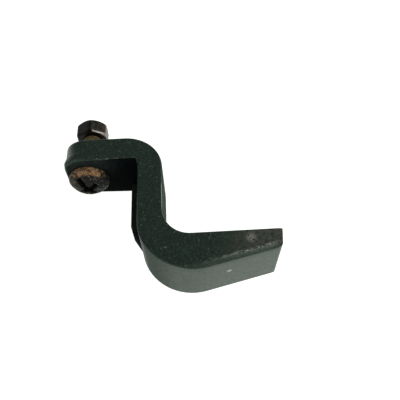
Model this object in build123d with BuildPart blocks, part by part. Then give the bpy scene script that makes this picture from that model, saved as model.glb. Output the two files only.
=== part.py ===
from build123d import *
import os
from math import asin, cos, radians, sin, tan

os.makedirs("parts", exist_ok=True)

# Offset hook bracket, lying on its edge. An ear carries a clamp screw, a middle leg offsets the
# tongue from the ear, and the tongue hooks under the thing that is held. All sizes in millimetres.

# Bar of the bracket, seen from above
BAR_HEIGHT = 18.9
OFFSET = 35.6               # ear back face to the tongue's hook face
LEG_THICKNESS = 7.6
EAR_THICKNESS = 8.3
EAR_REACH = 31.7            # leg hook face to the end of the ear
TONGUE_REACH = 33.9         # leg hook face to the tip of the tongue
TIP_THICKNESS = 5.6
TIP_SLANT = radians(6.7)    # the tip face leans back towards the leg
TONGUE_TAPER = radians(13.1)

# Bends and edges
EAR_BEND_OUTER = 11.8
EAR_BEND_INNER = 0.9
TONGUE_BEND_INNER = 7.9
TONGUE_BEND_OUTER = 15.8
TIP_CORNER = 0.8
EAR_END_ROUND = 6.5
EDGE_ROUND = 0.5

# Stiffening ledge along the foot of the middle leg
LEDGE_WIDTH = 3.6
LEDGE_HEIGHT = 4.5
LEDGE_END = 27.5            # ear back face to the end of the ledge
LEDGE_CORNER = 2.6
LEDGE_ROOT = 2.0            # how far the ledge runs into the bar

# M6 clamp screw and nut
SCREW_REACH = 24.3          # leg hook face to the screw's axis
THREAD_RADIUS = 3.0
HOLE_RADIUS = 3.1
SCREW_LENGTH = 20.8         # under the head
SCREW_END_CHAMFER = 0.6
HEAD_RADIUS = 6.5
HEAD_RIM = 1.6
HEAD_DOME = 3.4
UNDERHEAD_EDGE = 0.3
RECESS_LENGTH = 6.4
RECESS_WIDTH = 1.7
RECESS_DEPTH = 2.8
RECESS_TAPER = 10
NUT_ACROSS_FLATS = 9.8
NUT_THICKNESS = 5.2
NUT_BORE_RADIUS = 3.06
NUT_CHAMFER_ANGLE = radians(30)
NUT_BORE_CHAMFER = 0.35

# Tongue outline, measured from the ear's back face and the leg's hook face
tip_near_x = TONGUE_REACH - TIP_THICKNESS * sin(TIP_SLANT)
tip_near_y = -OFFSET - TIP_THICKNESS * cos(TIP_SLANT)
heel_x = -LEG_THICKNESS
heel_y = tip_near_y - tan(TONGUE_TAPER) * (tip_near_x - heel_x)
bend_centre_x = heel_x + TONGUE_BEND_OUTER
bend_rise = TONGUE_BEND_OUTER + sin(TONGUE_TAPER) * (bend_centre_x - tip_near_x)
bend_bottom_y = tip_near_y + bend_rise / cos(TONGUE_TAPER) - TONGUE_BEND_OUTER
nut_rear_y = SCREW_LENGTH - EAR_THICKNESS

# The origin is under the middle of the whole assembly
leg_face_x = (EAR_REACH - TONGUE_REACH) / 2
ear_back_y = -(bend_bottom_y + nut_rear_y) / 2
ear_front_y = ear_back_y - EAR_THICKNESS
screw_x = leg_face_x - SCREW_REACH
screw_z = BAR_HEIGHT / 2


def placed(x, y):
    """A point given from the leg's hook face and the ear's back face."""
    return (leg_face_x + x, ear_back_y + y)


outline_points = [
    placed(0, 0),
    placed(0, -OFFSET),
    placed(TONGUE_REACH, -OFFSET),
    placed(tip_near_x, tip_near_y),
    placed(heel_x, heel_y),
    placed(heel_x, -EAR_THICKNESS),
    placed(-EAR_REACH, -EAR_THICKNESS),
    placed(-EAR_REACH, 0),
]
corner_rounds = [
    (placed(0, 0), EAR_BEND_OUTER),
    (placed(0, -OFFSET), TONGUE_BEND_INNER),
    (placed(TONGUE_REACH, -OFFSET), TIP_CORNER),
    (placed(tip_near_x, tip_near_y), TIP_CORNER),
    (placed(heel_x, heel_y), TONGUE_BEND_OUTER),
    (placed(heel_x, -EAR_THICKNESS), EAR_BEND_INNER),
]

# Bracket arm: ear, leg and tongue in one bar, with a ledge at the leg's foot and a screw hole
with BuildPart() as bracket_arm:
    with BuildSketch(Plane.XY) as bar_outline:
        with BuildLine():
            Polyline(*outline_points, close=True)
        make_face()
        for corner, radius in corner_rounds:
            fillet(bar_outline.vertices().sort_by_distance(Vector(*corner))[0], radius=radius)
    extrude(amount=BAR_HEIGHT)

    ledge_corner = Vector(*placed(heel_x - LEDGE_WIDTH, -LEDGE_END))
    with BuildSketch(Plane.XY) as ledge_outline:
        with BuildLine():
            Polyline(
                placed(heel_x + LEDGE_ROOT, -EAR_THICKNESS + LEDGE_ROOT),
                placed(heel_x - LEDGE_WIDTH, -EAR_THICKNESS + LEDGE_ROOT),
                placed(heel_x - LEDGE_WIDTH, -LEDGE_END),
                placed(heel_x + LEDGE_ROOT, -LEDGE_END),
                close=True,
            )
        make_face()
        fillet(ledge_outline.vertices().sort_by_distance(ledge_corner)[0], radius=LEDGE_CORNER)
    extrude(amount=LEDGE_HEIGHT)

    # The ear's end is round, and every other edge along the bar has a small round
    fillet(bracket_arm.edges().filter_by(Axis.Y).group_by(Axis.X)[0], radius=EAR_END_ROUND)
    rim_edges = bracket_arm.faces().sort_by(Axis.Z)[-1].edges()
    foot_edges = bracket_arm.faces().sort_by(Axis.Z)[0].edges()
    end_edges = (rim_edges + foot_edges).filter_by(Axis.Y).group_by(Axis.X)[0]
    fillet((rim_edges + foot_edges) - end_edges, radius=EDGE_ROUND)

    with BuildSketch(Plane.XZ.offset(-ear_back_y)):
        with Locations((screw_x, screw_z)):
            Circle(HOLE_RADIUS)
    extrude(amount=EAR_THICKNESS, mode=Mode.SUBTRACT)

# Both turned pieces are revolved about the screw's axis
screw_axis = Axis((screw_x, 0, screw_z), (0, 1, 0))
head_top_y = ear_front_y - HEAD_RIM - HEAD_DOME
screw_end_y = ear_front_y + SCREW_LENGTH
dome_sphere = (HEAD_RADIUS**2 + HEAD_DOME**2) / (2 * HEAD_DOME)
dome_half_angle = asin(HEAD_RADIUS / dome_sphere) / 2
dome_middle_x = screw_x + dome_sphere * sin(dome_half_angle)
dome_middle_y = head_top_y + dome_sphere * (1 - cos(dome_half_angle))

# Clamp screw: domed head with a cross recess in front of the ear, shank through the ear
with BuildPart() as clamp_screw:
    with BuildSketch(Plane.XY.offset(screw_z)):
        with BuildLine():
            dome_edge = (screw_x + HEAD_RADIUS, ear_front_y - HEAD_RIM)
            ThreePointArc((screw_x, head_top_y), (dome_middle_x, dome_middle_y), dome_edge)
            Polyline(
                dome_edge,
                (screw_x + HEAD_RADIUS, ear_front_y - UNDERHEAD_EDGE),
                (screw_x + HEAD_RADIUS - UNDERHEAD_EDGE, ear_front_y),
                (screw_x + THREAD_RADIUS, ear_front_y),
                (screw_x + THREAD_RADIUS, screw_end_y - SCREW_END_CHAMFER),
                (screw_x + THREAD_RADIUS - SCREW_END_CHAMFER, screw_end_y),
                (screw_x, screw_end_y),
                (screw_x, head_top_y),
            )
        make_face()
    revolve(axis=screw_axis)
    with BuildSketch(Plane.XZ.offset(-head_top_y)):
        with Locations((screw_x, screw_z)):
            Rectangle(RECESS_LENGTH, RECESS_WIDTH)
            Rectangle(RECESS_WIDTH, RECESS_LENGTH)
    extrude(amount=-RECESS_DEPTH, taper=RECESS_TAPER, mode=Mode.SUBTRACT)

# Hex nut on the shank behind the ear, flush with the end of the screw
nut_flat_radius = NUT_ACROSS_FLATS / 2
nut_corner_radius = nut_flat_radius / cos(radians(30))
nut_face_drop = (nut_corner_radius - nut_flat_radius) * tan(NUT_CHAMFER_ANGLE)
nut_front_y = screw_end_y - NUT_THICKNESS
with BuildPart() as hex_nut:
    with BuildSketch(Plane.XZ.offset(-nut_front_y)):
        with Locations((screw_x, screw_z)):
            RegularPolygon(nut_flat_radius, 6, major_radius=False, rotation=30)
    extrude(amount=-NUT_THICKNESS)
    with BuildSketch(Plane.XY.offset(screw_z)):
        with BuildLine():
            Polyline(
                (screw_x + NUT_BORE_RADIUS, nut_front_y + NUT_BORE_CHAMFER),
                (screw_x + NUT_BORE_RADIUS + NUT_BORE_CHAMFER, nut_front_y),
                (screw_x + nut_flat_radius, nut_front_y),
                (screw_x + nut_corner_radius, nut_front_y + nut_face_drop),
                (screw_x + nut_corner_radius, screw_end_y - nut_face_drop),
                (screw_x + nut_flat_radius, screw_end_y),
                (screw_x + NUT_BORE_RADIUS + NUT_BORE_CHAMFER, screw_end_y),
                (screw_x + NUT_BORE_RADIUS, screw_end_y - NUT_BORE_CHAMFER),
                close=True,
            )
        make_face()
    revolve(axis=screw_axis, mode=Mode.INTERSECT)

bracket_arm.part.label = "bracket_arm"
export_step(bracket_arm.part, "parts/bracket_arm.step")
clamp_screw.part.label = "clamp_screw"
export_step(clamp_screw.part, "parts/clamp_screw.step")
hex_nut.part.label = "hex_nut"
export_step(hex_nut.part, "parts/hex_nut.step")
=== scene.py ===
"""Looks for the offset hook clamp bracket.

A black coated bar with a rusty clamp screw and nut, lying on its edge on a white table.
"""

import math

import bmesh
import bpy
from mathutils import Matrix, Vector, noise


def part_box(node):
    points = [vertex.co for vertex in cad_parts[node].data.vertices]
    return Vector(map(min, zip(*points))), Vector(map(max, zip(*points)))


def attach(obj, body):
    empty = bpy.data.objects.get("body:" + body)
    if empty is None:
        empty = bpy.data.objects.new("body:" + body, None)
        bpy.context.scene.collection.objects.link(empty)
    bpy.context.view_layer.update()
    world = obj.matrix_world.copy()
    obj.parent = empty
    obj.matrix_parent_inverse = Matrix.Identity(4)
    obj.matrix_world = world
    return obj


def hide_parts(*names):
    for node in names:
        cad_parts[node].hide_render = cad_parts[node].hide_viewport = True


MM = 0.001

# Degrees from which an edge is shaded sharp
SHARP_ANGLE = 38
SCREW_SHARP_ANGLE = 50
NUT_SHARP_ANGLE = 28

# Sizes of the bar that its box doesn't give, in mm, as in part.py
EAR_REACH = 31.7
EAR_THICKNESS = 8.3
LEG_THICKNESS = 7.6
OFFSET = 35.6               # ear back face to the tongue's hook face
TIP_THICKNESS = 5.6
TIP_SLANT = math.radians(6.7)
TONGUE_TAPER = math.radians(13.1)
EAR_BEND_OUTER = 11.8
EAR_BEND_INNER = 0.9
TONGUE_BEND_INNER = 7.9
TONGUE_BEND_OUTER = 15.8
EAR_END_ROUND = 6.5
LEDGE_WIDTH = 3.6
LEDGE_HEIGHT = 4.5
LEDGE_SHOULDER = 24.5       # ear back face to where the ledge starts to run out
LEDGE_END = 31.8            # and to where it ends
LEDGE_TURN = Vector((0.9, -3.2))    # from its shoulder to the corner on its run-out
LEDGE_STUB = 0.2            # its width where it ends
LEDGE_ROOT = 2.0            # how far it reaches into the bar
HOLE_RADIUS = 3.1
HOLE_OVERRUN = 2            # how far the hole's cutter sticks out of the ear
HOLE_SIDES = 64

# Edge rounds of the cast bar, in mm
EDGE_ROUND = 0.5
NEAR_BEVEL = 1.3            # top edge of the tongue's near side
BEVEL_FLATNESS = 0.8        # 0 is a round, 1 a flat chamfer
EAR_FRONT_ROUND = 1.5       # soft front edge on the ear's end
EAR_WAIST = 0.3             # how much the ear's end is smaller behind its front rim
EAR_KNOB = 0.4              # small casting lump on the front rim
TIP_ROUND = 0.7

# Screw and nut, in mm
THREAD_CREST = 2.97
THREAD_ROOT = 2.48
THREAD_PITCH = 1.0
THREAD_CLEARANCE = 0.05
SCREW_END_CHAMFER = 0.6
HEAD_RIM = 1.6
HEAD_DOME = 3.4
HEAD_GAP = 0.04             # between the head's underside and the ear
HEAD_SINK = 0.10            # the dome's surface lies this much under the clean dome
HEAD_LUMPS = 0.09
HEAD_PITS = 0.35
SIDE_ROUGHNESS = 0.06
UNDER_ROUND = 0.3           # at the edge of the head's underside
RECESS_REACH = 3.7
RECESS_WIDTH = 1.9
RECESS_DEPTH = 1.9
RECESS_TURN = math.radians(33)
TORN_ARM = 1.4              # how much further one worn arm of the recess runs
NUT_FLAT_RADIUS = 4.9
NUT_CHAMFER = math.radians(30)
NUT_BORE_MOUTH = 3.35       # radius of the bore's open end
NUT_FACE_RING = 4.2         # radius of a ring on the flat faces


# ---------------------------------------------------------------- mesh helpers

def add_piece(name, points, faces, sharp_angle=SHARP_ANGLE):
    """A mesh object from points in mm, shaded smooth up to the given angle in degrees."""
    mesh = bpy.data.meshes.new(name)
    mesh.from_pydata([Vector(p) * MM for p in points], [], faces)
    mesh.validate()
    shape = bmesh.new()
    shape.from_mesh(mesh)
    bmesh.ops.recalc_face_normals(shape, faces=shape.faces)
    shape.to_mesh(mesh)
    shape.free()
    mesh.shade_smooth()
    mesh.set_sharp_from_angle(angle=math.radians(sharp_angle))
    piece = bpy.data.objects.new(name, mesh)
    bpy.context.scene.collection.objects.link(piece)
    return piece


def apply_modifier(piece, kind, **settings):
    """Adds a modifier, sets it up and applies it to the mesh."""
    modifier = piece.modifiers.new(kind.title(), kind)
    for key, value in settings.items():
        setattr(modifier, key, value)
    bpy.context.view_layer.update()
    with bpy.context.temp_override(object=piece, active_object=piece):
        bpy.ops.object.modifier_apply(modifier=modifier.name)


def remove(piece):
    """Deletes a helper object and its mesh."""
    mesh = piece.data
    bpy.data.objects.remove(piece)
    bpy.data.meshes.remove(mesh)


def ring_faces(rings, closed=True):
    """Quads between rings of point numbers, all of one length."""
    faces = []
    for low, high in zip(rings, rings[1:]):
        count = len(low)
        for i in range(count if closed else count - 1):
            j = (i + 1) % count
            faces.append((low[i], low[j], high[j], high[i]))
    return faces


def plain_ring(radius, y):
    """A round ring for turned_points."""
    return lambda angle: (radius, y)


def turned_points(rings, count):
    """Points, and rows of their numbers, of rings round the screw's axis.

    Each ring is a function that turns an angle, from +Z towards +X, into a radius and a y.
    """
    points = []
    rows = []
    for ring in rings:
        rows.append(list(range(len(points), len(points) + count)))
        for i in range(count):
            angle = 2 * math.pi * i / count
            radius, y = ring(angle)
            points.append((screw_x + radius * math.sin(angle), y, screw_z + radius * math.cos(angle)))
    return points, rows


def smoothstep(low, high, value):
    """0 below low, 1 above high, and smooth between them."""
    t = min(max((value - low) / (high - low), 0.0), 1.0)
    return t * t * (3 - 2 * t)


# ---------------------------------------------------------------- the bar

def line(start, end, steps):
    """Points from start towards end, without the end."""
    return [start.lerp(end, i / steps) for i in range(steps)]


def arc(centre, radius, start, end, steps):
    """Points on an arc between two angles in degrees, without the last."""
    points = []
    for i in range(steps):
        angle = math.radians(start + (end - start) * i / steps)
        points.append(centre + radius * Vector((math.cos(angle), math.sin(angle))))
    return points


# Stations along the bar, from the ear's end to the tip, and points across it
END_STEPS = 14
EAR_STEPS = 10
BEND_STEPS = 18
LEG_STEPS = 8
TONGUE_STEPS = 16
ROWS = 8                    # rows up the bar's height
BACK_ROUND_STEPS = 4        # steps across the round on the back and hook side
FRONT_ROUND_STEPS = 6       # and on the front and near side
EAR_LAST = END_STEPS + EAR_STEPS    # the station where the ear ends and its bend starts
KNOB_STATION = 5            # place of the casting lump on the ear's rounded end, in stations
KNOB_SPREAD = 1.6
BEVEL_FADE = 7              # stations over which the round turns into the near side's bevel


def bar_stations(half_height):
    """Pairs of points across the bar, from the ear's end to the tip.

    The first point lies on the back and hook side, the second on the front and near side. Each pair has the
    bar's half height there, and the direction in which its edge looks.
    """
    stations = []
    for i in range(END_STEPS):
        angle = math.pi / 2 * i / END_STEPS
        x = -EAR_REACH + EAR_END_ROUND * (1 - math.cos(angle))
        height = half_height - EAR_END_ROUND * (1 - math.sin(angle))
        edge_way = (math.cos(angle), math.sin(angle))
        stations.append((Vector((x, 0)), Vector((x, -EAR_THICKNESS)), height, edge_way))

    tip_hook = Vector((tip_hook_x, -OFFSET))
    tip_near = tip_hook - TIP_THICKNESS * Vector((math.sin(TIP_SLANT), math.cos(TIP_SLANT)))
    near_along = Vector((math.cos(TONGUE_TAPER), math.sin(TONGUE_TAPER)))
    near_out = Vector((math.sin(TONGUE_TAPER), -math.cos(TONGUE_TAPER)))
    centre_x = TONGUE_BEND_OUTER - LEG_THICKNESS
    # the bend's centre lies one radius inside the near face and one radius inside the leg's left face
    reach = (centre_x - tip_near.x + near_out.x * TONGUE_BEND_OUTER) / near_along.x
    centre = Vector((centre_x, tip_near.y + reach * near_along.y - near_out.y * TONGUE_BEND_OUTER))
    near_start = centre + near_out * TONGUE_BEND_OUTER

    ear_x = -EAR_REACH + EAR_END_ROUND
    inner_x = -LEG_THICKNESS - EAR_BEND_INNER
    inner_y = -EAR_THICKNESS - EAR_BEND_INNER
    hook_y = -OFFSET + TONGUE_BEND_INNER
    back = line(Vector((ear_x, 0)), Vector((-EAR_BEND_OUTER, 0)), EAR_STEPS)
    back += arc(Vector((-EAR_BEND_OUTER, -EAR_BEND_OUTER)), EAR_BEND_OUTER, 90, 0, BEND_STEPS)
    back += line(Vector((0, -EAR_BEND_OUTER)), Vector((0, hook_y)), LEG_STEPS)
    back += arc(Vector((TONGUE_BEND_INNER, hook_y)), TONGUE_BEND_INNER, 180, 270, BEND_STEPS)
    back += line(Vector((TONGUE_BEND_INNER, -OFFSET)), tip_hook, TONGUE_STEPS) + [tip_hook]
    front = line(Vector((ear_x, -EAR_THICKNESS)), Vector((inner_x, -EAR_THICKNESS)), EAR_STEPS)
    front += arc(Vector((inner_x, inner_y)), EAR_BEND_INNER, 90, 0, BEND_STEPS)
    front += line(Vector((-LEG_THICKNESS, inner_y)), Vector((-LEG_THICKNESS, centre.y)), LEG_STEPS)
    front += arc(centre, TONGUE_BEND_OUTER, 180, 270 + math.degrees(TONGUE_TAPER), BEND_STEPS)
    front += line(near_start, tip_near, TONGUE_STEPS) + [tip_near]
    for a, b in zip(back, front):
        stations.append((a, b, half_height, (0.0, 1.0)))
    return stations


def make_bar():
    """The bar as one closed skin: two side faces and the edge band that runs round them."""
    half = bar_height / 2
    stations = bar_stations(half)
    last = len(stations) - 1
    bend_start = EAR_LAST + BEND_STEPS + LEG_STEPS
    bend_end = bend_start + BEND_STEPS
    near_end = Vector((math.cos(TONGUE_TAPER), math.sin(TONGUE_TAPER)))
    points = []

    # the edge's way round: top from the tip to the ear, down the ear's end, foot back to the tip, up the tip
    around = [(i, 1, 1) for i in range(last, -1, -1)]
    around += [(0, 1 - 2 * k / ROWS, 0) for k in range(1, ROWS)]
    around += [(i, -1, -1) for i in range(last + 1)]
    around += [(last, -1 + 2 * k / ROWS, 0) for k in range(1, ROWS)]

    def edge_loop(index, level, side):
        """One row of points across the edge band, from the back face to the front face.

        level is the row's height, from -1 at the foot to 1 on top. side is 1 on top, -1 at the foot and 0 on
        the upright ends.
        """
        a, b, height, (end_out, up_out) = stations[index]
        at_tip = index == last
        across = b - a
        width = across.length
        across = across.normalized()
        up = side * (1.0 if at_tip else up_out)
        round_a = TIP_ROUND if at_tip else EDGE_ROUND
        round_b = round_a
        waist = 0.0
        flatness = 0.0
        if index <= EAR_LAST:
            fade = smoothstep(END_STEPS - 1, EAR_LAST, index)
            round_b = EAR_FRONT_ROUND + (EDGE_ROUND - EAR_FRONT_ROUND) * fade
            waist = EAR_WAIST * (1 - smoothstep(END_STEPS * 0.6, END_STEPS + EAR_STEPS * 0.4, index))
        elif side > 0 and index >= bend_start and not at_tip:
            flatness = smoothstep(bend_end - BEVEL_FADE, bend_end, index)
            round_b = EDGE_ROUND + (NEAR_BEVEL - EDGE_ROUND) * flatness
        row = []
        steps = []
        for k in range(BACK_ROUND_STEPS + 1):
            angle = math.pi / 2 * k / BACK_ROUND_STEPS
            steps.append((round_a * (1 - math.cos(angle)), waist + round_a * (1 - math.sin(angle))))
        # between the rounds, where the waist runs out before the front rim
        for fraction, share in ((0.3, 1.0), (0.62, 1.0), (0.72, 0.5), (0.8, 0.0)):
            depth = round_a + (width - round_a - round_b) * fraction
            steps.append((depth, waist * share))
        for k in range(FRONT_ROUND_STEPS + 1):
            angle = math.pi / 2 * (1 - k / FRONT_ROUND_STEPS)
            round_step = Vector((1 - math.cos(angle), 1 - math.sin(angle)))
            flat_step = Vector((1 - k / FRONT_ROUND_STEPS, k / FRONT_ROUND_STEPS))
            step = round_step.lerp(flat_step, BEVEL_FLATNESS * flatness) * round_b
            steps.append((width - step.x, step.y))
        off_knob = (index - KNOB_STATION) / KNOB_SPREAD
        knob = EAR_KNOB * math.exp(-off_knob ** 2) if level > 0 else 0.0
        for depth, inset in steps:
            inset -= knob * smoothstep(0.6, 0.85, depth / width)
            if at_tip:
                out = Vector((1, 0)).lerp(near_end, depth / width)
            else:
                out = Vector((-1, 0)) * end_out
            flat = a + across * depth - out * inset
            row.append(len(points))
            points.append((leg_face_x + flat.x, ear_back_y + flat.y, half + level * height - up * inset))
        return row

    loops = [edge_loop(*where) for where in around]
    faces = ring_faces(loops + [loops[0]], closed=False)

    # each side face is a grid between the edge band's first or last points
    count = last + 1
    for end in (0, -1):
        top = [loops[last - i][end] for i in range(count)]
        foot = [loops[count + ROWS - 1 + i][end] for i in range(count)]
        columns = []
        for i in range(count):
            column = [foot[i]]
            for k in range(1, ROWS):
                if i == 0:
                    column.append(loops[count + ROWS - 1 - k][end])
                elif i == last:
                    column.append(loops[2 * count + ROWS - 2 + k][end])
                else:
                    low, high = Vector(points[foot[i]]), Vector(points[top[i]])
                    column.append(len(points))
                    points.append(tuple(low.lerp(high, k / ROWS)))
            column.append(top[i])
            columns.append(column)
        faces += ring_faces(columns, closed=False)
    return add_piece("Bar", points, faces)


def make_ledge():
    """The stiffening ledge at the leg's foot, rooted in the bar."""
    outer_x = leg_face_x - LEG_THICKNESS - LEDGE_WIDTH
    root_x = leg_face_x - LEG_THICKNESS + LEDGE_ROOT
    start_y = ear_back_y - EAR_THICKNESS + LEDGE_ROOT
    end_y = ear_back_y - LEDGE_END
    shoulder_y = ear_back_y - LEDGE_SHOULDER
    outline = [
        Vector((root_x, start_y)),
        Vector((outer_x, start_y)),
        Vector((outer_x, shoulder_y)),
        Vector((outer_x, shoulder_y)) + LEDGE_TURN,
        Vector((outer_x + LEDGE_WIDTH - LEDGE_STUB, end_y)),
        Vector((root_x, end_y)),
    ]
    shape = bmesh.new()
    foot = [shape.verts.new((p.x * MM, p.y * MM, 0)) for p in outline]
    top = [shape.verts.new((p.x * MM, p.y * MM, LEDGE_HEIGHT * MM)) for p in outline]
    shape.faces.new(foot)
    shape.faces.new(top)
    for i in range(len(outline)):
        j = (i + 1) % len(outline)
        shape.faces.new((foot[i], foot[j], top[j], top[i]))
    bmesh.ops.recalc_face_normals(shape, faces=shape.faces)
    rims = [e for e in shape.edges if abs(e.verts[0].co.z - e.verts[1].co.z) < MM / 10]
    bmesh.ops.bevel(shape, geom=rims, offset=EDGE_ROUND * MM, segments=3, profile=0.5, affect="EDGES")
    mesh = bpy.data.meshes.new("Ledge")
    shape.to_mesh(mesh)
    shape.free()
    ledge = bpy.data.objects.new("Ledge", mesh)
    bpy.context.scene.collection.objects.link(ledge)
    return ledge


def make_hole_cutter():
    """A many-sided rod through the ear on the screw's axis."""
    front_y = ear_back_y - EAR_THICKNESS
    ends = [plain_ring(HOLE_RADIUS, y) for y in (ear_back_y + HOLE_OVERRUN, front_y - HOLE_OVERRUN)]
    points, rows = turned_points(ends, HOLE_SIDES)
    return add_piece("Hole", points, ring_faces(rows) + [tuple(row) for row in rows])


def make_arm():
    """Bar, ledge and screw hole as one piece."""
    arm = make_bar()
    ledge = make_ledge()
    apply_modifier(arm, "BOOLEAN", operation="UNION", object=ledge, solver="EXACT")
    remove(ledge)
    cutter = make_hole_cutter()
    apply_modifier(arm, "BOOLEAN", operation="DIFFERENCE", object=cutter, solver="EXACT")
    remove(cutter)
    arm.name = "Bracket_arm_look"
    arm.data.shade_smooth()
    arm.data.set_sharp_from_angle(angle=math.radians(SHARP_ANGLE))
    weighted = arm.modifiers.new("Flat faces", "WEIGHTED_NORMAL")
    weighted.keep_sharp = True
    weighted.weight = 100
    return arm


# ---------------------------------------------------------------- screw and nut

def thread_radius(angle, y, root, crest):
    """Radius of a right-hand thread on the screw's axis, at an angle from +Z towards +X."""
    phase = (y / THREAD_PITCH - angle / (2 * math.pi)) % 1.0
    ramp = abs(2 * phase - 1)
    return root + (crest - root) * smoothstep(0.12, 0.88, ramp)


def recess_depth(x, z):
    """Depth of the cross recess under the dome, at a place on the head measured from its axis."""
    u = x * math.cos(RECESS_TURN) + z * math.sin(RECESS_TURN)
    v = z * math.cos(RECESS_TURN) - x * math.sin(RECESS_TURN)
    depth = 0.0
    torn_reach = RECESS_REACH + (TORN_ARM if v > 0 else 0.0)
    for along, aside, reach in ((u, v, RECESS_REACH), (v, u, torn_reach)):
        wall = smoothstep(-0.1, 0.32, RECESS_WIDTH / 2 - abs(aside))
        floor = smoothstep(0.0, 1.5, reach - abs(along))
        depth = max(depth, RECESS_DEPTH * wall * floor)
    return depth


def make_screw():
    """Clamp screw: pitted dome head with a cross recess, and a threaded shank."""
    count = 180
    rim_y = head_top_y + HEAD_DOME
    under_y = rim_y + HEAD_RIM
    end_y = screw_high.y / MM

    def dome(radius):
        """A ring on the dome, with the recess and rust pits."""
        def ring(angle):
            x, z = radius * math.sin(angle), radius * math.cos(angle)
            y = head_top_y + dome_sphere - math.sqrt(dome_sphere**2 - radius**2)
            y += recess_depth(x, z)
            lump = noise.fractal(Vector((x, z, 3.0)) * 0.9, 1.0, 2.0, 4)
            pit = max(0.0, noise.noise(Vector((x, z, 9.0)) * 1.6) - 0.25)
            return radius, y + HEAD_SINK + HEAD_LUMPS * lump + HEAD_PITS * pit
        return ring

    def side(radius, y):
        """A ring on the head's side, slightly rough."""
        def ring(angle):
            where = Vector((radius * math.sin(angle), y, radius * math.cos(angle)))
            rough = SIDE_ROUGHNESS * noise.fractal(where * 0.8, 1.0, 2.0, 3)
            return radius - SIDE_ROUGHNESS + rough, y
        return ring

    def thread(y):
        """A ring on the threaded shank, which is chamfered at the screw's end."""
        def ring(angle):
            crest = min(THREAD_CREST, THREAD_CREST - SCREW_END_CHAMFER + (end_y - y))
            radius = thread_radius(angle, y, min(THREAD_ROOT, crest), crest)
            return radius, y
        return ring

    # the dome runs from close to the axis to just inside the rim
    dome_steps = 84
    rings = [dome(head_radius * (0.004 + 0.972 * i / dome_steps)) for i in range(dome_steps + 1)]
    rings += [side(head_radius, rim_y + 0.12), side(head_radius, rim_y + HEAD_RIM * 0.5)]
    rings += [side(head_radius, under_y - UNDER_ROUND), side(head_radius - UNDER_ROUND, under_y)]
    rings += [plain_ring(head_radius - 1.2, under_y), plain_ring(THREAD_CREST + 0.1, under_y)]
    thread_steps = 190
    thread_length = end_y - under_y
    for i in range(thread_steps + 1):
        rings.append(thread(under_y + thread_length * i / thread_steps))
    rings += [plain_ring(THREAD_ROOT - 0.5, end_y), plain_ring(0.05, end_y)]
    points, rows = turned_points(rings, count)
    faces = ring_faces(rows)

    # both ends close with a fan of triangles
    for row in (rows[0], rows[-1]):
        centre = sum((Vector(points[i]) for i in row), Vector()) / count
        points.append(tuple(centre))
        for i in range(count):
            faces.append((row[i], row[(i + 1) % count], len(points) - 1))
    return add_piece("Clamp_screw_look", points, faces, SCREW_SHARP_ANGLE)


def make_nut():
    """Hex nut with chamfered corners and a threaded bore."""
    count = 144
    half_side = math.radians(30)
    corner = NUT_FLAT_RADIUS / math.cos(half_side)
    front, rear = nut_low.y / MM, nut_high.y / MM
    thickness = rear - front

    def hexagon(angle):
        """Radius of the rounded hexagon at an angle from +Z towards +X."""
        turn = (angle + half_side) % (2 * half_side) - half_side
        flat = NUT_FLAT_RADIUS / math.cos(half_side - abs(turn))
        return min(flat, corner - 0.12 + 0.02 * math.cos(turn * 6))

    def outside(depth):
        """A ring on the outside, at a depth from the front face."""
        def ring(angle):
            front_cone = NUT_FLAT_RADIUS - 0.15 + depth / math.tan(NUT_CHAMFER)
            rear_cone = NUT_FLAT_RADIUS - 0.2 + (thickness - depth) * 1.3
            cone = min(front_cone, rear_cone)
            where = Vector((math.sin(angle), depth * 0.5, math.cos(angle))) * 2.2
            return min(hexagon(angle), cone) - 0.02 + 0.03 * noise.noise(where), front + depth
        return ring

    def bore(y):
        """A ring of the internal thread, in step with the screw's."""
        root = THREAD_ROOT + THREAD_CLEARANCE
        crest = THREAD_CREST + THREAD_CLEARANCE
        return lambda angle: (thread_radius(angle, y, root, crest), y)

    depths = [0.0, 0.06, 0.14, 0.24, 0.36, 0.5, 0.75, 1.2, 1.9]
    depths += [thickness / 2] + [thickness - d for d in reversed(depths)]
    rings = [bore(front + thickness * i / 60) for i in range(60, -1, -1)]
    rings += [plain_ring(NUT_BORE_MOUTH, front), plain_ring(NUT_FACE_RING, front)]
    rings += [outside(d) for d in depths]
    rings += [plain_ring(NUT_FACE_RING, rear), plain_ring(NUT_BORE_MOUTH, rear)]
    points, rows = turned_points(rings, count)
    return add_piece("Hex_nut_look", points, ring_faces(rows + [rows[0]]), NUT_SHARP_ANGLE)


# ---------------------------------------------------------------- materials

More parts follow.
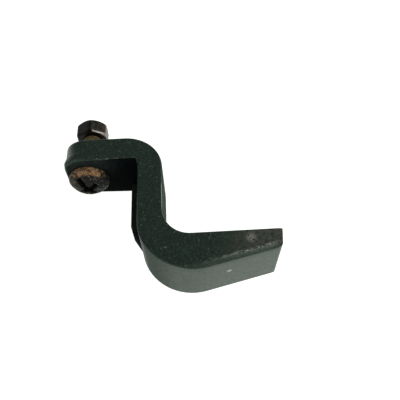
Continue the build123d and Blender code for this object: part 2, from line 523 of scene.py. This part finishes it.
class Surface:
    """A Principled material, with short calls for the nodes that feed it. Places are in mm."""

    def __init__(self, name, **sockets):
        self.material = bpy.data.materials.new(name)
        self.material.use_nodes = True
        self.tree = self.material.node_tree
        self.shader = self.tree.nodes["Principled BSDF"]
        for key, value in sockets.items():
            self.feed(key.replace("_", " ").title().replace("Ior", "IOR"), value)
        coordinates = self.tree.nodes.new("ShaderNodeTexCoord")
        scale = self.tree.nodes.new("ShaderNodeVectorMath")
        scale.operation = "SCALE"
        self.tree.links.new(coordinates.outputs["Object"], scale.inputs[0])
        scale.inputs["Scale"].default_value = 1 / MM
        self.place = scale.outputs[0]
        split = self.tree.nodes.new("ShaderNodeSeparateXYZ")
        self.tree.links.new(self.place, split.inputs[0])
        self.x, self.y, self.z = split.outputs
        facing = self.tree.nodes.new("ShaderNodeSeparateXYZ")
        self.tree.links.new(coordinates.outputs["Normal"], facing.inputs[0])
        self.nx, self.ny, self.nz = facing.outputs

    def connect(self, value, socket):
        """Links a socket's output, or sets a plain value."""
        if isinstance(value, bpy.types.NodeSocket):
            self.tree.links.new(value, socket)
        else:
            socket.default_value = value

    def feed(self, name, value):
        """Feeds one input of the Principled shader."""
        self.connect(value, self.shader.inputs[name])

    def math(self, operation, a, b=0.0):
        """One Math node, not clamped."""
        node = self.tree.nodes.new("ShaderNodeMath")
        node.operation = operation
        self.connect(a, node.inputs[0])
        self.connect(b, node.inputs[1])
        return node.outputs[0]

    def step(self, value, low, high):
        """0 where value is low, 1 where it is high, and smooth between them. low may be above high."""
        node = self.tree.nodes.new("ShaderNodeMapRange")
        node.interpolation_type = "SMOOTHSTEP"
        self.connect(value, node.inputs["Value"])
        flip = low > high
        node.inputs["From Min"].default_value = min(low, high)
        node.inputs["From Max"].default_value = max(low, high)
        node.inputs["To Min"].default_value = 1.0 if flip else 0.0
        node.inputs["To Max"].default_value = 0.0 if flip else 1.0
        return node.outputs["Result"]

    def noise(self, scale, detail=3.0, roughness=0.5, stretch=(1, 1, 1), shift=0.0):
        """Noise with scale in features per mm."""
        moved = self.tree.nodes.new("ShaderNodeMapping")
        self.tree.links.new(self.place, moved.inputs["Vector"])
        moved.inputs["Scale"].default_value = stretch
        moved.inputs["Location"].default_value = (shift, shift * 0.7, shift * 1.3)
        node = self.tree.nodes.new("ShaderNodeTexNoise")
        self.tree.links.new(moved.outputs[0], node.inputs["Vector"])
        node.inputs["Scale"].default_value = scale
        node.inputs["Detail"].default_value = detail
        node.inputs["Roughness"].default_value = roughness
        return node.outputs["Fac"]

    def product(self, *values):
        """All the values multiplied together."""
        result = values[0]
        for value in values[1:]:
            result = self.math("MULTIPLY", result, value)
        return result

    def blend(self, factor, a, b):
        """Colour a where factor is 0, colour b where it is 1."""
        node = self.tree.nodes.new("ShaderNodeMix")
        node.data_type = "RGBA"
        self.connect(factor, node.inputs[0])
        for value, socket in ((a, node.inputs[6]), (b, node.inputs[7])):
            self.connect((*value, 1.0) if isinstance(value, tuple) else value, socket)
        return node.outputs[2]

    def spread(self, factor, a, b):
        """A plain number a where factor is 0, b where it is 1."""
        return self.math("ADD", self.math("MULTIPLY", factor, b - a), a)

    def near(self, x, y, z, inner, outer):
        """1 close to a place, fading to 0 between two distances in mm."""
        node = self.tree.nodes.new("ShaderNodeVectorMath")
        node.operation = "DISTANCE"
        self.tree.links.new(self.place, node.inputs[0])
        node.inputs[1].default_value = (x, y, z)
        return self.step(node.outputs["Value"], outer, inner)

    def from_axis(self):
        """Distance from the screw's axis in mm."""
        x = self.math("SUBTRACT", self.x, screw_x)
        z = self.math("SUBTRACT", self.z, screw_z)
        return self.math("SQRT", self.math("ADD", self.product(x, x), self.product(z, z)))

    def bump(self, *layers):
        """Bump layers of (height, strength, depth in mm), one over the other."""
        below = None
        for height, strength, depth in layers:
            node = self.tree.nodes.new("ShaderNodeBump")
            node.inputs["Strength"].default_value = strength
            node.inputs["Distance"].default_value = depth * MM
            self.connect(height, node.inputs["Height"])
            if below:
                self.tree.links.new(below, node.inputs["Normal"])
            below = node.outputs[0]
        self.tree.links.new(below, self.shader.inputs["Normal"])


GREEN_CAST = (0.74, 1.0, 0.78, 1.0)
SATIN_SHADES = ((0.0045, 0.0095, 0.0070), (0.0190, 0.0310, 0.0245))     # dark and light of the mottle
PAINTED_SHADE_TONES = ((0.0004, 0.0008, 0.0010), (0.0020, 0.0032, 0.0036))     # the same, painted dark as shade
DULL_LEVELS = {1: (0.20, 0.55, 0.0), 2: (0.05, 0.75, 0.1), 3: (0.03, 0.85, 1.0)}    # gloss, roughness, share of painted shade
LEFT_HALF_MATTE = 30        # degrees off the leg's left side up to which a face is half matte
RIGHT_HALF_MATTE = 24       # and off its right side
RIGHT_MATTE = 8             # degrees off its right side up to which a face is matte


def near_face_point():
    """Where the tongue's near face ends at the tip, in mm, and the way that face looks."""
    x = leg_face_x + tip_hook_x - TIP_THICKNESS * math.sin(TIP_SLANT)
    y = ear_back_y - OFFSET - TIP_THICKNESS * math.cos(TIP_SLANT)
    return Vector((x, y)), Vector((math.sin(TONGUE_TAPER), -math.cos(TONGUE_TAPER)))


def make_coating():
    """Black satin coating with a green cast, fine mottle, dust specks, scuffs towards the tongue's tip, and
    painted highlights on the ear's front edge and the leg's top edge.
    """
    s = Surface("black_coating_look", metallic=0.0, specular_ior_level=0.40, specular_tint=GREEN_CAST)
    grain = s.noise(1.6, 5, 0.75)
    cloud = s.noise(0.16, 3, 0.6, shift=4)
    patch = s.noise(0.9, 4, 0.6, shift=11)
    top = s.step(s.nz, 0.55, 0.9)
    colour = s.blend(s.step(grain, 0.40, 0.62), *SATIN_SHADES)
    colour = s.blend(s.product(s.step(cloud, 0.35, 0.7), 0.35), colour, (0.0080, 0.0120, 0.0100))

    # specks of dust on the upper faces, and pale specks along the ear's front edge that are a painted
    # highlight
    specks = s.step(s.noise(2.0, 1, 0.4, shift=23), 0.690, 0.75)
    on_ear = s.step(s.y, ear_back_y - 13, ear_back_y - 6)
    off_leg = s.step(s.x, leg_face_x - 4, leg_face_x - 10)
    ear_edge = s.product(on_ear, off_leg, s.step(s.nz, 0.98, 0.8), s.step(s.nz, 0.1, 0.4))
    edge_glint_noise = s.step(s.noise(1.9, 2, 0.5, shift=31), 0.56, 0.64)
    edge_glint_specks = s.product(edge_glint_noise, ear_edge, s.step(s.x, screw_x + 1.5, screw_x + 5))
    colour = s.blend(s.product(specks, s.spread(top, 0.1, 0.8)), colour, (0.11, 0.13, 0.12))
    colour = s.blend(s.product(edge_glint_specks, 0.8), colour, (0.16, 0.18, 0.17))

    # wear that grows towards the tip
    tipward = s.step(s.x, leg_face_x + 12, leg_face_x + 30)
    rubbed = s.product(top, tipward, s.step(patch, 0.24, 0.66))
    colour = s.blend(s.product(rubbed, 0.85), colour, (0.062, 0.057, 0.050))
    corner, outward = near_face_point()
    across_x = s.product(s.math("SUBTRACT", s.x, corner.x), outward.x)
    across_y = s.product(s.math("SUBTRACT", s.y, corner.y), outward.y)
    across = s.math("ADD", across_x, across_y)
    at_top = s.step(s.z, bar_height - 0.6, bar_height - 0.2)
    ridge = s.product(s.step(across, -1.9, -1.5), s.step(across, -0.95, -1.25), at_top)
    broken = s.step(s.noise(1.3, 5, 0.7, shift=3), 0.46, 0.60)
    scuffs = s.product(ridge, s.step(s.x, leg_face_x + 6, leg_face_x + 24), broken)
    colour = s.blend(s.product(scuffs, 0.85), colour, (0.190, 0.195, 0.185))

    # a pale spot on the tongue, a scratch on its near face, and a painted highlight along the leg's top right
    # edge
    spot = s.near(leg_face_x + 24.6, ear_back_y - OFFSET - 2.6, bar_height, 0.2, 2.2)
    spot = s.product(spot, s.step(s.noise(1.8, 4, 0.6, shift=8), 0.38, 0.56))
    colour = s.blend(spot, colour, (0.17, 0.165, 0.145))
    scratch = s.near(leg_face_x + 18.2, ear_back_y - 44.6, 11.2, 0.25, 1.1)
    scratch = s.product(scratch, s.step(s.noise(1.6, 3, 0.6, shift=15), 0.36, 0.5))
    colour = s.blend(scratch, colour, (0.22, 0.24, 0.21))
    leg_edge_highlight = s.product(
        s.step(s.x, leg_face_x - 0.45, leg_face_x - 0.2),
        s.step(s.x, leg_face_x + 0.7, leg_face_x + 0.3),
        s.step(s.y, ear_back_y - 17, ear_back_y - 20),
        s.step(s.y, ear_back_y - 29, ear_back_y - 26),
        s.step(s.z, bar_height - 1.0, bar_height - 0.6),
    )
    colour = s.blend(s.product(leg_edge_highlight, 0.8), colour, (0.24, 0.26, 0.24))
    s.feed("Base Color", colour)

    # rougher on the side faces towards the left
    leftward = s.product(s.step(s.x, leg_face_x + 16, leg_face_x - 4), 0.10)
    turned_left = s.product(s.step(s.nx, -0.25, -0.85), 0.28)
    side = s.product(s.math("ADD", leftward, turned_left), s.step(s.nz, 0.5, 0.2))
    s.feed("Roughness", s.math("ADD", s.spread(s.step(patch, 0.3, 0.7), 0.36, 0.44), side))
    waves = s.product(s.noise(0.55, 3, 0.5, shift=19), top)
    s.bump((s.product(grain, top), 0.16, 0.06), (waves, 0.2, 0.2), (scuffs, 0.4, 0.08))
    return s.material


def make_dull_coating(level):
    """The same coating where nothing rubs it: level 1 is half matte, 2 is matte with a little painted shade,
    3 is matte and painted dark as shade.
    """
    gloss, rough, shade_share = DULL_LEVELS[level]
    s = Surface(f"dull_coating_{level}_look", metallic=0.0, specular_ior_level=gloss, roughness=rough)
    grain = s.noise(1.2, 5, 0.75)
    satin = s.blend(s.step(grain, 0.40, 0.62), *SATIN_SHADES)
    # matte: the painted shade tones, darker than the satin, for faces that stand in shade
    matte = s.blend(s.step(grain, 0.40, 0.65), *PAINTED_SHADE_TONES)

    # painted light on the ear's front at the upper left, lighter than the painted shade around it, and a
    # lighter grey on the ledge's top
    painted_light_by_head = s.product(
        s.step(s.x, leg_face_x - 12, leg_face_x - 22), s.step(s.z, 6, 15), s.step(s.ny, -0.5, -0.9)
    )
    matte = s.blend(s.product(painted_light_by_head, s.step(grain, 0.2, 0.6)), matte, (0.0130, 0.0180, 0.0165))
    ledge_top = s.product(s.step(s.nz, 0.5, 0.9), s.step(s.z, LEDGE_HEIGHT + 0.6, LEDGE_HEIGHT + 0.1))
    matte = s.blend(s.product(ledge_top, s.step(grain, 0.25, 0.6)), matte, (0.024, 0.028, 0.027))

    # the share of painted shade blends the satin into the painted shade tones
    s.feed("Base Color", s.blend(shade_share, satin, matte))
    s.bump((grain, 0.2, 0.08), (s.noise(0.6, 2, 0.5, shift=21), 0.2, 0.2))
    return s.material


def dull_level(centre, normal):
    """How matte one of the arm's faces is, from 0 to 3, by its middle in mm and its direction; level 3 also
    carries painted shade.
    """
    x = centre.x - leg_face_x
    y = centre.y - ear_back_y
    ear_front = normal.y < -0.8 and abs(y + EAR_THICKNESS) < 0.2
    beside_leg = x < -LEG_THICKNESS - 0.05 and -LEDGE_END < y < -EAR_THICKNESS - 0.1
    ledge = beside_leg and centre.z < LEDGE_HEIGHT + 0.1
    underside = normal.z < -0.2
    # the ear's front in the pocket, the ledge and the underside take level 3, painted dark as shade
    if ear_front or ledge or underside:
        return 3
    if abs(normal.z) > 0.6:
        return 0
    turn = math.degrees(math.atan2(abs(normal.y), abs(normal.x)))
    if normal.x < 0 and y < -EAR_THICKNESS:
        return 1 if turn < LEFT_HALF_MATTE else 0
    if normal.x > 0 and x < TONGUE_BEND_INNER:
        return 2 if turn < RIGHT_MATTE else 1 if turn < RIGHT_HALF_MATTE else 0
    return 0


def make_rusted():
    """Zinc gone to brown and orange rust, blue-grey where it still holds, with grime and painted shade in the
    recess.
    """
    s = Surface("rusted_steel_look", specular_ior_level=0.1)
    radius = s.from_axis()
    head_zone = s.step(s.y, head_top_y + 5.2, head_top_y + 4.4)
    mottled = s.noise(0.85, 5, 0.65, shift=2)
    fine = s.noise(3.2, 5, 0.7, shift=7)
    streak = s.noise(1.6, 4, 0.6, stretch=(2.6, 1, 0.35), shift=13)
    grey = s.blend(s.step(fine, 0.35, 0.7), (0.0030, 0.0040, 0.0042), (0.0240, 0.0270, 0.0260))
    brown = s.blend(s.step(streak, 0.35, 0.68), (0.008, 0.0065, 0.0045), (0.058, 0.048, 0.030))
    orange = s.blend(s.step(fine, 0.35, 0.7), (0.110, 0.052, 0.020), (0.370, 0.225, 0.115))

    # brown at the left, orange flakes towards the rim's top, pale chips mostly lower down
    left = s.step(s.x, screw_x, screw_x - 3.2)
    ragged = s.math("ADD", s.z, s.product(s.math("SUBTRACT", mottled, 0.5), 9.0))
    high = s.step(ragged, screw_z + 3.2, screw_z + 5.6)
    outer = s.step(radius, 2.8, 5.4)
    rim = s.step(radius, 4.9, 5.9)
    colour = s.blend(s.product(s.step(mottled, 0.50, 0.66), 0.45), grey, brown)
    colour = s.blend(s.product(left, outer), colour, brown)
    colour = s.blend(s.product(high, rim, s.step(mottled, 0.36, 0.54)), colour, orange)
    flakes = s.step(s.noise(1.3, 4, 0.6, shift=29), 0.62, 0.70)
    colour = s.blend(s.product(flakes, outer, 0.7), colour, orange)
    chips = s.step(s.noise(1.1, 4, 0.65, shift=37), 0.57, 0.62)
    chips = s.product(chips, s.spread(s.step(s.z, screw_z + 1, screw_z - 2.5), 0.35, 1.0))
    colour = s.blend(s.product(chips, s.step(radius, 1.5, 3.5), 0.85), colour, (0.33, 0.30, 0.21))

    # golden, oily zinc on the shank behind the ear
    shank = s.math("SUBTRACT", 1.0, head_zone)
    golden = s.step(s.noise(0.9, 3, 0.55, shift=5), 0.30, 0.70)
    golden = s.blend(golden, (0.080, 0.055, 0.022), (0.190, 0.150, 0.070))
    colour = s.blend(shank, colour, golden)

    # grime packed in the recess, darkened further as painted shade, and a grime streak past it along the arm
    # that points up and left
    sunk = s.math("SUBTRACT", s.y, head_surface(s, radius))
    dirt_and_shade = s.product(head_zone, s.step(sunk, 0.30, 0.75), s.step(radius, 4.6, 4.0))
    dx = s.math("SUBTRACT", s.x, screw_x)
    dz = s.math("SUBTRACT", s.z, screw_z)
    aside = s.math("ADD", s.product(dx, math.cos(RECESS_TURN)), s.product(dz, math.sin(RECESS_TURN)))
    along = s.math("SUBTRACT", s.product(dz, math.cos(RECESS_TURN)), s.product(dx, math.sin(RECESS_TURN)))
    wander = s.math("ADD", s.math("ABSOLUTE", aside), s.product(s.noise(0.9, 4, 0.6, shift=41), 1.4))
    smear = s.product(head_zone, s.step(wander, 2.0, 1.6), s.step(along, -0.5, 0.5), s.step(along, 5.4, 4.8))
    dirt_and_shade = s.math("MAXIMUM", dirt_and_shade, smear)
    # near black: grime on the streak, grime and painted shade in the recess
    colour = s.blend(dirt_and_shade, colour, (0.0030, 0.0028, 0.0025))
    s.feed("Base Color", colour)
    metal = s.product(s.step(mottled, 0.62, 0.40), s.math("SUBTRACT", 1.0, dirt_and_shade), 0.45)
    s.feed("Metallic", metal)
    s.feed("Roughness", s.spread(s.step(fine, 0.3, 0.7), 0.42, 0.75))
    s.bump((mottled, 0.6, 0.35), (fine, 0.5, 0.12), (streak, 0.25, 0.1))
    return s.material


def head_surface(s, radius):
    """Where the clean dome would be, in mm along Y, at a distance from the axis."""
    drop = s.math("SQRT", s.math("SUBTRACT", dome_sphere**2, s.product(radius, radius)))
    return s.math("SUBTRACT", head_top_y + dome_sphere, drop)


def make_tarnished():
    """Dark tarnished steel, brown in patches, painted darker as shade on faces turned left and a lighter
    brown as painted light on faces turned right, with a painted highlight on the front chamfer's upper right.
    """
    s = Surface("tarnished_steel_look", specular_ior_level=0.2)
    radius = s.from_axis()
    patch = s.noise(0.8, 4, 0.6, shift=6)
    fine = s.noise(3.0, 4, 0.65, shift=9)
    colour = s.blend(s.step(fine, 0.3, 0.7), (0.006, 0.006, 0.005), (0.024, 0.025, 0.021))
    colour = s.blend(s.product(s.step(patch, 0.48, 0.64), 0.6), colour, (0.060, 0.038, 0.022))
    # painted shade on faces turned left, and painted light in a lighter brown on faces turned right
    colour = s.blend(s.product(s.step(s.nx, 0.15, -0.15), 0.9), colour, (0.0035, 0.0033, 0.0030))
    colour = s.blend(s.product(s.step(s.nx, 0.75, 0.95), 0.5), colour, (0.110, 0.060, 0.035))
    # painted highlight along the upper right of the front chamfer
    frontward = s.step(s.y, nut_low.y / MM + 0.8, nut_low.y / MM + 0.2)
    right = s.step(s.x, screw_x + 0.4, screw_x + 1.4)
    upper = s.step(s.z, screw_z + 1, screw_z + 2.5)
    edge = s.product(frontward, s.step(radius, 4.6, 4.95), right, upper)
    colour = s.blend(s.product(edge, s.step(fine, 0.3, 0.5)), colour, (0.55, 0.52, 0.46))
    s.feed("Base Color", colour)
    s.feed("Metallic", s.spread(s.step(patch, 0.6, 0.4), 0.45, 0.85))
    s.feed("Roughness", s.spread(s.step(fine, 0.3, 0.7), 0.28, 0.5))
    s.bump((patch, 0.3, 0.15), (fine, 0.3, 0.06))
    return s.material


# ---------------------------------------------------------------- floor, light and camera

def make_floor():
    """A white glowing table that runs far past the view, a little brighter towards the right."""
    mesh = bpy.data.meshes.new("Floor")
    reach = 1.6     # metres
    corners = [(-reach, -reach, 0), (reach, -reach, 0), (reach, reach, 0), (-reach, reach, 0)]
    mesh.from_pydata(corners, [], [(0, 1, 2, 3)])
    floor = bpy.data.objects.new("Floor", mesh)
    bpy.context.scene.collection.objects.link(floor)
    s = Surface("white_table", roughness=0.9, specular_ior_level=0.1, emission_color=(0.955, 1.0, 0.95, 1.0))
    s.feed("Base Color", s.blend(s.noise(0.05, 2, 0.5), (0.30, 0.30, 0.295), (0.34, 0.34, 0.335)))
    s.feed("Emission Strength", s.spread(s.step(s.x, -60, 60), 0.99, 1.10))
    mesh.materials.append(s.material)


def add_light(name, place, size, power, colour=(1, 1, 1)):
    """A square soft light at a place in metres, aimed at the middle of the bracket."""
    light = bpy.data.lights.new(name, "AREA")
    light.size = size
    light.energy = power
    light.color = colour
    lamp = bpy.data.objects.new(name, light)
    lamp.location = place
    aim = Vector((0, 0, 0.01)) - Vector(place)
    lamp.rotation_euler = aim.to_track_quat("-Z", "Y").to_euler()
    bpy.context.scene.collection.objects.link(lamp)


def make_light():
    """A dim room over a bright table, with soft light from the right and a weaker one from the left."""
    world = bpy.data.worlds.new("Room")
    world.use_nodes = True
    background = world.node_tree.nodes["Background"]
    background.inputs["Color"].default_value = (0.93, 0.97, 1.0, 1)
    background.inputs["Strength"].default_value = 0.25
    bpy.context.scene.world = world
    add_light("Front right", (0.46, -0.30, 0.36), 0.40, 3.4, (1.0, 0.985, 0.96))
    add_light("Back right", (0.55, 0.38, 0.28), 0.30, 1.5, (1.0, 0.98, 0.95))
    add_light("Front left", (-0.50, -0.34, 0.36), 0.36, 0.9, (0.96, 0.98, 1.0))


CAMERA_PLACE = Vector((7.45, -99.13, 136.5))      # mm from the leg's hook face and the ear's back face
CAMERA_PITCH = math.radians(57.78)
CAMERA_HEADING = math.radians(2.73)
CAMERA_ROLL = math.radians(0.72)
CAMERA_LENS = 42.6


def make_camera():
    """The camera, looking down at the bracket from the screw head's side."""
    ahead = Vector((math.sin(CAMERA_HEADING), math.cos(CAMERA_HEADING), 0))
    right = Vector((math.cos(CAMERA_HEADING), -math.sin(CAMERA_HEADING), 0))
    look = ahead * math.cos(CAMERA_PITCH) - Vector((0, 0, math.sin(CAMERA_PITCH)))
    up = right.cross(look)
    turned_right = right * math.cos(CAMERA_ROLL) - up * math.sin(CAMERA_ROLL)
    turned_up = up * math.cos(CAMERA_ROLL) + right * math.sin(CAMERA_ROLL)
    lens = bpy.data.cameras.new("Camera")
    lens.lens = CAMERA_LENS
    lens.sensor_width = 36
    lens.clip_start = 0.005
    camera = bpy.data.objects.new("Camera", lens)
    turn = Matrix((turned_right, turned_up, -look)).transposed()
    place = CAMERA_PLACE + Vector((leg_face_x, ear_back_y, 0))
    camera.matrix_world = Matrix.Translation(place * MM) @ turn.to_4x4()
    bpy.context.scene.collection.objects.link(camera)
    bpy.context.scene.camera = camera


# ---------------------------------------------------------------- the scene

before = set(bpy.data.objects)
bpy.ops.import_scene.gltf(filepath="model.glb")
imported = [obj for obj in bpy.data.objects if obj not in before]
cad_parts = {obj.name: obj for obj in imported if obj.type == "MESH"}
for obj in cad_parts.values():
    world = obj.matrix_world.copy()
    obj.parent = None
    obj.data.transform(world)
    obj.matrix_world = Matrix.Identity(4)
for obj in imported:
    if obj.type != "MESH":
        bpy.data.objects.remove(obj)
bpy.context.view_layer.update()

arm_low, arm_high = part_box("bracket_arm")
screw_low, screw_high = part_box("clamp_screw")
nut_low, nut_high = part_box("hex_nut")
bar_height = arm_high.z / MM
leg_face_x = arm_low.x / MM + EAR_REACH
tip_hook_x = arm_high.x / MM - leg_face_x
ear_back_y = arm_high.y / MM
head_top_y = ear_back_y - EAR_THICKNESS - HEAD_GAP - HEAD_RIM - HEAD_DOME
head_radius = (screw_high.x - screw_low.x) / MM / 2
dome_sphere = (head_radius**2 + HEAD_DOME**2) / (2 * HEAD_DOME)     # radius of the dome's sphere
screw_x = (screw_low.x + screw_high.x) / 2 / MM
screw_z = (screw_low.z + screw_high.z) / 2 / MM

arm = make_arm()
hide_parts("bracket_arm")
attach(arm, "arm")
arm.data.materials.clear()
arm.data.materials.append(make_coating())
for level in (1, 2, 3):
    arm.data.materials.append(make_dull_coating(level))
for face in arm.data.polygons:
    face.material_index = dull_level(face.center / MM, face.normal)

screw = make_screw()
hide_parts("clamp_screw")
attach(screw, "screw")
screw.data.materials.append(make_rusted())

nut = make_nut()
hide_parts("hex_nut")
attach(nut, "nut")
nut.data.materials.append(make_tarnished())

make_floor()
make_light()
make_camera()
bpy.context.scene.view_settings.view_transform = "Standard"
